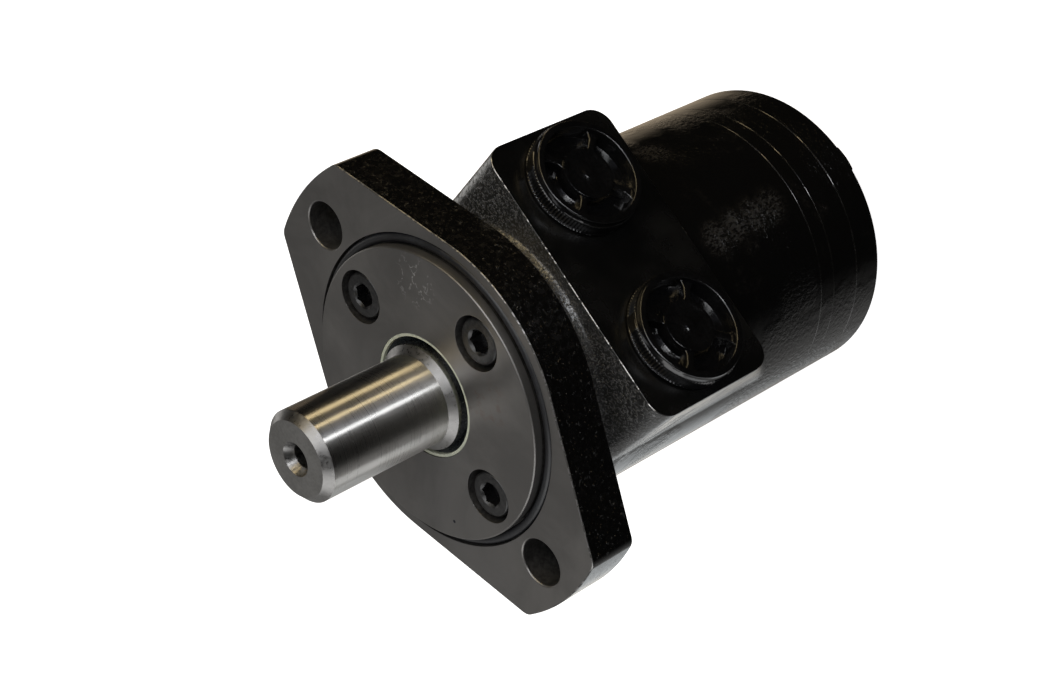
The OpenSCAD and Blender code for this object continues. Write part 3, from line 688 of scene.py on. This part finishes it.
def build_housing():
    """The casting with its bores, and the separate flat plate of the port pad."""
    casting = outer_casting()
    combine(casting, housing_cuts(), "DIFFERENCE")
    finish_mesh(casting, 38, weighted=False)

    def zone(p, normal, old):
        r = hypot(p.x, p.y)
        if r > BODY_R - 0.6 and p.z < HOUSING_END + 0.25:
            return 3
        # Bores and the faces hidden between parts take the darker iron, a painted shade.
        inside = r < 38 and p.z < FLANGE_BACK - 0.2 and not (p.y < BLOCK_Y + 0.5)
        if inside or abs(normal.z) > 0.99 and (p.z > FLANGE_BACK - 0.2 or p.z < HOUSING_END + 0.2):
            return 2
        return 1 if p.z > NECK_BLEND - 2 or abs(p.z - BLOCK_FRONT) < 1.2 else 0

    dress(casting, "root", [GLOSS, CAST_GREY, IRON_RECESS_SHADE, GLOSS_SEAM], ["housing"],
          zone)

    bm = bmesh.new()
    flat = Matrix.Rotation(pi / 2, 4, "X")
    outline = rounded_rectangle(PAD_HALF, PAD_REAR, BLOCK_FRONT, PAD_CORNER, 12)
    prism(bm, outline, -PAD_Y - PLATE_T, -PAD_Y, edge=0.2, matrix=flat)
    plate = new_object("port_pad", bm)
    bm = bmesh.new()
    for x in PORT_X:
        lathe(bm, port_hole(), 128, matrix=at_port(x))
    combine(plate, new_object("holes", bm), "DIFFERENCE")
    finish_mesh(plate)

    def pad_zone(p, normal, old):
        mouth = min(hypot(p.x - x, p.z - PORT_Z) for x in PORT_X)
        # The port mouths take the darker iron, a painted shade in the recess.
        if mouth < PORT_MOUTH_R + 0.4 and (normal.y > -0.9 or p.y > PAD_Y + 0.3):
            return 2
        if p.y < PAD_Y + 0.25 and -0.98 < normal.y < -0.05:
            return 1 if p.z > BLOCK_FRONT - 1.5 else 4
        return 0 if normal.y < -0.9 else 3

    dress(plate, "root", [PAD, EDGE_PAD, IRON_RECESS_SHADE, CAST_GREY, EDGE_SEAM],
          ["housing"], pad_zone)


# ---------------------------------------------------------------- screws, plugs, seals
HEAD_TOP = 1.9
HEAD_H = 8
HEXAGON_R = 3.46
SCREW_TURN = (17, 41)       # the sockets stand at odd angles: the first one, and the step


def build_cap_screws():
    """Socket head screws with a chamfered rim, a countersunk hexagon and a drilled floor."""
    bm = bmesh.new()
    top, low = HEAD_TOP, HEAD_TOP - HEAD_H
    lathe(bm, [(0, -28), (3.4, -28), (4, -27.4), (4, low), (6.3, low), (6.5, low + 0.2),
               (6.5, top - 0.9), (6.42, top - 0.55), (6.1, top - 0.15), (5.8, top), (0, top)], 72)
    head = new_object("cap_screw", bm)
    bm = bmesh.new()
    hexagon = [(HEXAGON_R * cos(radians(60 * i)), HEXAGON_R * sin(radians(60 * i)))
               for i in range(6)]
    prism(bm, hexagon, top - 4, top + 1)
    combine(head, new_object("hexagon", bm), "DIFFERENCE")
    bm = bmesh.new()
    lathe(bm, [(0, top - 5.2), (3.0, top - 3.9), (3.05, top - 0.62), (3.9, top + 0.1), (3.9, top + 1),
               (0, top + 1)], 48)
    combine(head, new_object("mouth", bm), "DIFFERENCE")
    one = bmesh.new()
    one.from_mesh(head.data)
    bpy.data.objects.remove(head)
    bm = bmesh.new()
    for i in range(CAP_COUNT):
        spin = Matrix.Rotation(pi / 2 * i, 4, "Z") @ Matrix.Translation((CAP_CIRCLE * MM, 0, 0))
        spin = spin @ Matrix.Rotation(radians(SCREW_TURN[0] + SCREW_TURN[1] * i), 4, "Z")
        part = one.copy()
        bmesh.ops.transform(part, matrix=spin, verts=part.verts)
        mesh = bpy.data.meshes.new("part")
        part.to_mesh(mesh)
        part.free()
        bm.from_mesh(mesh)
        bpy.data.meshes.remove(mesh)
    one.free()
    obj = finish_mesh(new_object("cap_screw_set", bm), 35)

    def zone(p, normal, old):
        turn = pi / 2 * round(atan2(p.y, p.x) / (pi / 2))
        off = hypot(p.x - CAP_CIRCLE * cos(turn), p.y - CAP_CIRCLE * sin(turn))
        # The inside of the socket gets the near-black painted shade.
        if off < 3.6 and p.z < top - 0.4:
            return 2
        return 1 if p.z > top - 1 and normal.z > 0.3 else 0

    dress(obj, "root", [OXIDE, OXIDE_WORN, SOCKET_SHADE], ["flange_cap_screws"], zone)


KNURL_COUNT = 104
KNURL_DEPTH = 0.42
GRIP_R = 15.6
GRIP_LOW, GRIP_HIGH = 0.9, 4.05
GRIP_TURN, GRIP_SPREAD = 112, 51        # middle of the first arc and half its length, in degrees


def knurl(r, z, a):
    """How far the plug's grip is cut in at an angle: ridges in three arcs."""
    if r < GRIP_R or not GRIP_LOW < z < GRIP_HIGH:
        return 0
    off = abs((degrees(a) - GRIP_TURN + 60) % 120 - 60)
    if off > GRIP_SPREAD:
        return 0
    ridge = abs((a * KNURL_COUNT / (2 * pi)) % 1 * 2 - 1)
    return -KNURL_DEPTH * (1 - ridge)


def plug_piece(name, node, x, turn):
    """A moulded cup with a flat rim, a hub and four webs, and a shank in the port."""
    bm = bmesh.new()
    rim = arc(14.95, 5.75, 0.35, 0, 90, 4) + arc(13.75, 5.75, 0.35, 90, 180, 4)
    lathe(bm, [(0, -10), (9.1, -10), (9.5, -9.5), (9.5, 0.1), (15.7, 0.1), (16, 0.4), (16, 0.85),
               (15.85, 0.95), (15.85, 2.4), (15.85, 3.95), (15.6, 4.1), (15.42, 4.3)]
          + rim + [(13.4, 2.2), (12.9, 1.5), (12.4, 1.4), (8.3, 1.4), (7.8, 1.6), (7.65, 2.1),
                   (7.55, 4.7), (7.35, 5.1), (6.95, 5.2), (6.3, 5.02), (1.6, 5.0), (1.3, 5.12),
                   (0.9, 5.15), (0, 5.15)], KNURL_COUNT * 6, shape=knurl)
    cup = new_object(name, bm)
    bm = bmesh.new()
    for i in range(4):
        outline = [(6.6, -1.5), (7.4, -1.5), (8.4, -1.05), (11.2, -1.05), (12.6, -1.6), (13.9, -2.4),
                   (13.9, 2.4), (12.6, 1.6), (11.2, 1.05), (8.4, 1.05), (7.4, 1.5), (6.6, 1.5)]
        spin = Matrix.Rotation(radians(45 + 90 * i), 4, "Z")
        prism(bm, outline, 1.0, 4.6, edge=0.35, matrix=spin)
    combine(cup, new_object("webs", bm), "UNION")
    place = at_port(x) @ Matrix.Rotation(radians(turn), 4, "Z")
    cup.data.transform(place)
    finish_mesh(cup, 42, weighted=False)
    dress(cup, "root", [PLASTIC], [node])


SEAL_Z = -3                 # the shaft's edges in front of this are rounded
HIDDEN_Z = -5
COLLAR_Z = 5.7
COLLAR_R = 12.4
END_Z = 40


def build_shaft():
    """The CAD shaft with rounded edges: ground along its run, turned at its end and collar."""
    bm = cad_solid("output_shaft")
    round_edges(bm, 0.16, lambda p: p.z > SEAL_Z, angle=20, segments=2, material=1)
    obj = finish_mesh(new_object("output_shaft_turned", bm), 30)

    def zone(p, normal, old):
        if p.z < HIDDEN_Z:
            return 2
        if normal.z > 0.95 and p.z > END_Z:
            return 3
        straight = abs(normal.z) < 0.05 and p.z > COLLAR_Z and hypot(p.x, p.y) > COLLAR_R
        return 0 if straight else 1

    dress(obj, "shaft", [STEEL, TURNED, HARD, FACED], ["output_shaft"], zone)


def softened(name, node, width, materials, edge_material=0, zone=None):
    """A copy of a fixed CAD node with rounded edges, which takes the node's place."""
    bm = cad_solid(node)
    round_edges(bm, width, material=edge_material)
    dress(finish_mesh(new_object(name, bm), 35), "root", materials, [node], zone)


def rear_zone(p, normal, old):
    """Edges on the outside of the rear stack wear; bores are bare iron, darker as painted shade."""
    r = hypot(p.x, p.y)
    if old == 1:
        return 1 if r > BODY_R - 1.5 else 2
    return 0 if r > BODY_R - 0.6 or (normal.z < -0.9 and p.z < REAR_FACE) else 2


build_flange()
build_housing()
build_cap_screws()
build_shaft()
plug_piece("port_plug_a_moulded", "port_plug_a", PORT_X[0], 0)
plug_piece("port_plug_b_moulded", "port_plug_b", PORT_X[1], 8)
for node in ("spacer_plate", "roller_ring", "end_cover"):
    softened(node + "_painted", node, 0.32, [GLOSS, GLOSS_SEAM, IRON_RECESS_SHADE], 1,
             rear_zone)
softened("cover_bolts_painted", "end_cover_bolts", 0.25, [CAST])
softened("dust_seal_casing", "dust_seal", 0.18, [CREAM])
softened("drain_plug_plated", "drain_plug", 0.4, [ZINC])
softened("drain_washer", "drain_plug_washer", 0.25, [COPPER])

# CAD nodes that keep their shape get their material here
PLAIN = {"rubber": RUBBER, "hardened_steel": HARD, "cage_brass": BRASS, "flange_iron": IRON}
for part in frame["record"]["subparts"]:
    if nodes[part["node"]].hide_render:
        continue
    finish = LIP_RUBBER if part["node"] == "wiper_lip" else PLAIN[part["material_slot"]]
    for material_slot in nodes[part["node"]].material_slots:
        material_slot.link = "OBJECT"
        material_slot.material = finish

# ---------------------------------------------------------------- floor, world and lights
FLOOR_Z = cad_box[0][2] - 0.0002
FLOOR_HALF = 4.0
bm = bmesh.new()
bm.faces.new([bm.verts.new((x * FLOOR_HALF, y * FLOOR_HALF, FLOOR_Z)) for x, y in
              ((-1, -1), (1, -1), (1, 1), (-1, 1))])
floor = new_object("floor", bm)
floor_finish = Finish("pale_floor", Roughness=0.9, Specular_IOR_Level=0.1)
floor_finish.to("Base Color", floor_finish.blend(floor_finish.noise(3, 2), (0.86, 0.86, 0.86),
                                                 (0.88, 0.88, 0.875)))
floor_finish.shader.inputs["Emission Color"].default_value = (1, 1, 1, 1)
floor_finish.shader.inputs["Emission Strength"].default_value = 0.92
floor.data.materials.append(floor_finish.material)
floor.visible_glossy = False
floor.visible_diffuse = False
floor.visible_shadow = False

def compass(angle):
    """The level direction at an angle from +X, in degrees."""
    return Vector((cos(radians(angle)), sin(radians(angle)), 0))


class Sky(Finish):
    """The studio as seen by the object: a bright table, warm and white strips, a dim room."""

    def __init__(self):
        world = bpy.data.worlds.new("studio")
        bpy.context.scene.world = world
        world.use_nodes = True
        self.tree = world.node_tree
        self.place = self.node("ShaderNodeTexCoord").outputs["Generated"]
        self.background = next(n for n in self.tree.nodes if n.type == "BACKGROUND")
        self.total = None

    def along(self, direction):
        """How far each direction leans towards the given one: 1 is straight at it."""
        return self.node("ShaderNodeVectorMath", {0: self.place, 1: tuple(direction)},
                         operation="DOT_PRODUCT").outputs["Value"]

    def add(self, mask, colour, strength):
        """Adds light of one colour where the mask is."""
        tint = self.node("ShaderNodeVectorMath", {0: tuple(c * strength for c in colour)},
                         operation="SCALE")
        self.tree.links.new(mask, tint.inputs["Scale"])
        if self.total is None:
            self.total = tint.outputs["Vector"]
        else:
            self.total = self.node("ShaderNodeVectorMath", {0: self.total, 1: tint.outputs[0]},
                                   operation="ADD").outputs["Vector"]

    def strip(self, angle, half_width, soft, colour, strength, low=-1.0, high=0.1):
        """A long light at one compass angle, in degrees, seen between two heights."""
        side = self.math("ABSOLUTE", self.along(compass(angle + 90)))
        mask = self.span(side, half_width, half_width + soft, 1.0, 0.0)
        mask = self.math("MULTIPLY", mask, self.span(self.along(compass(angle)), 0.25, 0.4))
        height = self.along((0, 0, 1))
        mask = self.math("MULTIPLY", mask, self.span(height, low, low + 0.1))
        mask = self.math("MULTIPLY", mask, self.span(height, high - 0.1, high, 1.0, 0.0))
        self.add(mask, colour, strength)


BELOW = Vector((-0.648, 0.761, 0)).normalized()     # towards the bright table under the motor
BEHIND = Vector((0.10, 0.76, 0.64)).normalized()    # where the flange's face mirrors
FRONT = Vector((0.15, -0.60, 0.78)).normalized()    # where the neck's fillet mirrors
WARM = (1.0, 0.80, 0.46)
WHITE = (0.95, 0.97, 1.0)
# compass angle, half width, soft edge, colour, strength, lowest and highest direction
STRIPS = [
    (-29, 0.06, 0.05, WARM, 3.4, -0.40, 0.75),
    (-58, 0.040, 0.02, WARM, 4.4, -0.40, 0.75),
    (-92, 0.045, 0.02, WHITE, 6.6, -0.40, 0.75),
    (-82, 0.03, 0.05, (0.80, 0.84, 1.0), 0.35, -0.40, 0.75),
    (48, 0.13, 0.08, (1.0, 0.98, 0.95), 1.1, -0.36, 0.36),
    (166, 0.13, 0.08, (0.95, 0.98, 1.0), 1.1, -0.36, 0.36),
]
sky = Sky()
height = sky.along((0, 0, 1))
table = sky.math("MULTIPLY", sky.span(sky.along(BELOW), 0.22, 0.88),
                 sky.span(height, -0.58, -0.35, 0.82, 1.0))
sky.add(table, (1.0, 0.988, 0.965), 0.28)
beside = sky.math("MULTIPLY", sky.span(sky.along(compass(108)), 0.68, 0.79),
                  sky.span(height, -0.55, -0.3, 1.0, 0.0))
sky.add(beside, (0.91, 0.97, 1.0), 0.46)
far = sky.math("MULTIPLY", sky.span(sky.along(compass(62)), 0.52, 0.80),
               sky.span(height, -0.58, -0.45, 1.0, 0.0))
sky.add(far, (1.0, 0.81, 0.58), 0.45)
sky.add(sky.span(sky.along(BEHIND), 0.82, 1.0), (1.0, 0.98, 0.96), 0.12)
for strip in STRIPS:
    sky.strip(*strip)
sky.add(sky.span(sky.along(FRONT), 0.84, 0.97), (0.98, 0.98, 1.0), 1.2)
room = sky.span(height, -0.5, 0.7, 0.12, 1.0)
sky.add(room, (1.0, 0.985, 0.96), 0.022)
sky.tree.links.new(sky.total, sky.background.inputs["Color"])
# The camera itself sees a plain pale ground in place of the lights
pale = sky.node("ShaderNodeBackground", {"Color": (0.985, 0.985, 0.985, 1), "Strength": 1.0})
swap = sky.node("ShaderNodeMixShader", {0: sky.node("ShaderNodeLightPath").outputs["Is Camera Ray"],
                                        1: sky.background.outputs[0], 2: pale.outputs[0]})
world_out = next(n for n in sky.tree.nodes if n.type == "OUTPUT_WORLD")
sky.tree.links.new(swap.outputs[0], world_out.inputs["Surface"])


def softbox(name, place, target, size, power, colour=(1, 1, 1)):
    data = bpy.data.lights.new(name, "AREA")
    data.shape = "RECTANGLE"
    data.size, data.size_y = size
    data.energy = power
    data.color = colour
    lamp = bpy.data.objects.new(name, data)
    bpy.context.scene.collection.objects.link(lamp)
    lamp.location = place
    lamp.rotation_euler = (Vector(target) - Vector(place)).to_track_quat("-Z", "Y").to_euler()
    lamp.visible_camera = False
    return lamp


softbox("overhead", (0.3, -0.5, 1.1), (0, 0, 0), (0.8, 0.8), 2.5, (0.96, 0.98, 1.0))
softbox("fill", (-0.9, 0.4, 0.8), (0, 0, 0), (0.9, 0.9), 4)
bpy.context.scene.view_settings.view_transform = "Standard"
